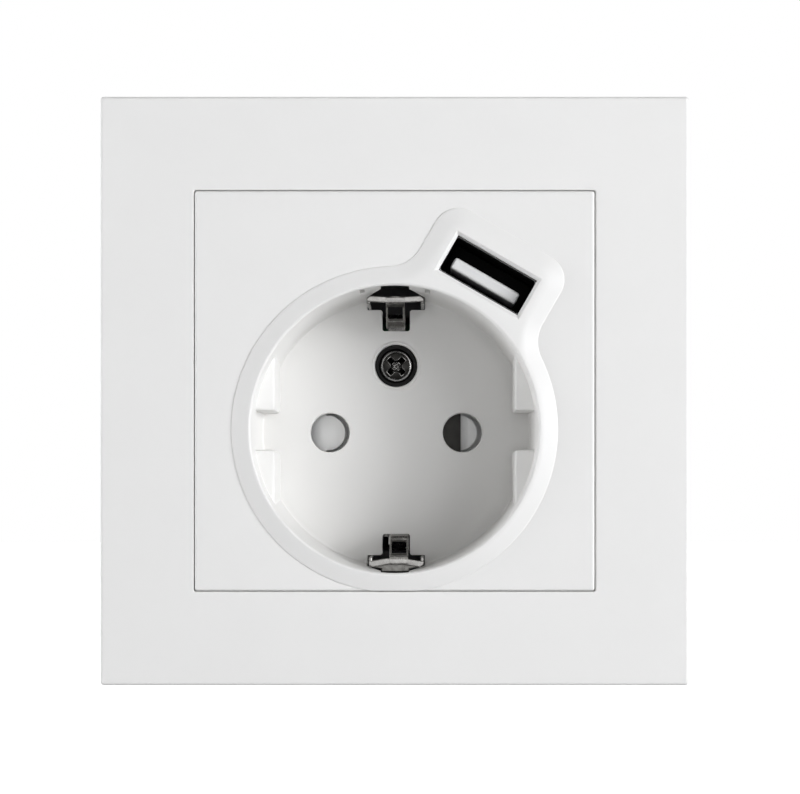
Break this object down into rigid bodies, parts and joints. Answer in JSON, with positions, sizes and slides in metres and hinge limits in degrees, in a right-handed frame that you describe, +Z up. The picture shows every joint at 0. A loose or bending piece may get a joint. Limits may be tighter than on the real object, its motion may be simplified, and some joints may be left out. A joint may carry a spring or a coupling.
{
  "type": "usb wall socket",
  "caption": "Flush wall socket: square white frame and centre plate with a round earthed recess, a shutter behind the pin holes and a slanted USB port on a raised collar.",
  "frame": {"origin": "middle of the cover frame on the wall face, which is also the middle of both pairs of box screw holes", "axes": "+X to the right seen from the front, +Y into the wall, +Z up; the front faces -Y"},
  "size_m": [0.081, 0.0512, 0.081],
  "materials": {
    "white_plastic": "satin, very slightly cool white",
    "dark_plastic": "matt moulded",
    "shutter_plastic": "satin light grey",
    "button_plastic": "matt orange",
    "tongue_plastic": "satin",
    "zinc_steel": "zinc plated",
    "ring_steel": "galvanised sheet",
    "spring_steel": "drawn, bright",
    "nickel_strip": "nickel-plated strip",
    "shell_steel": "nickel-plated sheet",
    "contact_brass": "stamped, bare",
    "gold_contact": "gold plated",
    "board_green": "solder mask",
    "chip_black": "moulded package",
    "ferrite": "sintered",
    "winding_tape": "taped",
    "can_aluminium": "drawn",
    "resistor_coat": "cement coat"
  },
  "bodies": {
    "socket": {"cover_frame": "white_plastic", "centre_plate": "white_plastic", "recess_wall": "white_plastic", "recess_floor": "white_plastic", "cover_screw": "zinc_steel", "screw_sleeve": "dark_plastic", "support_ring": "ring_steel", "ring_screws": "zinc_steel", "base_block": "dark_plastic", "base_rim": "dark_plastic", "shutter_spring": "spring_steel", "earth_strap": "nickel_strip", "line_contact": "contact_brass", "neutral_contact": "contact_brass", "line_clamp": "spring_steel", "neutral_clamp": "spring_steel", "earth_clamp": "spring_steel", "usb_shell": "shell_steel", "usb_tongue": "tongue_plastic", "usb_contacts": "gold_contact", "usb_board": "board_green", "usb_board_parts": "chip_black", "charger_board": "board_green", "transformer_core": "ferrite", "transformer_winding": "winding_tape", "input_capacitors": "can_aluminium", "output_capacitor": "can_aluminium", "choke": "ferrite", "fuse_resistor": "resistor_coat", "board_chips": "chip_black", "rear_housing": "dark_plastic", "housing_screws": "zinc_steel"},
    "shutter": {"shutter_slider": "shutter_plastic"},
    "line_release": {"line_button": "button_plastic"},
    "neutral_release": {"neutral_button": "button_plastic"},
    "earth_release": {"earth_button": "button_plastic"}
  },
  "joints": [
    {"name": "shutter_slide", "type": "slide", "parent": "socket", "child": "shutter", "axis": [1, 0, 0], "range_m": [0, 0.006], "stiffness_N_per_m": 300, "deforming": ["shutter_spring"]},
    {"name": "line_press", "type": "slide", "parent": "socket", "child": "line_release", "axis": [0, -1, 0], "range_m": [0, 0.001], "stiffness_N_per_m": 3000, "deforming": ["line_clamp"]},
    {"name": "neutral_press", "type": "slide", "parent": "socket", "child": "neutral_release", "axis": [0, -1, 0], "range_m": [0, 0.001], "stiffness_N_per_m": 3000, "deforming": ["neutral_clamp"]},
    {"name": "earth_press", "type": "slide", "parent": "socket", "child": "earth_release", "axis": [0, -1, 0], "range_m": [0, 0.001], "stiffness_N_per_m": 3000, "deforming": ["earth_clamp"]}
  ]
}
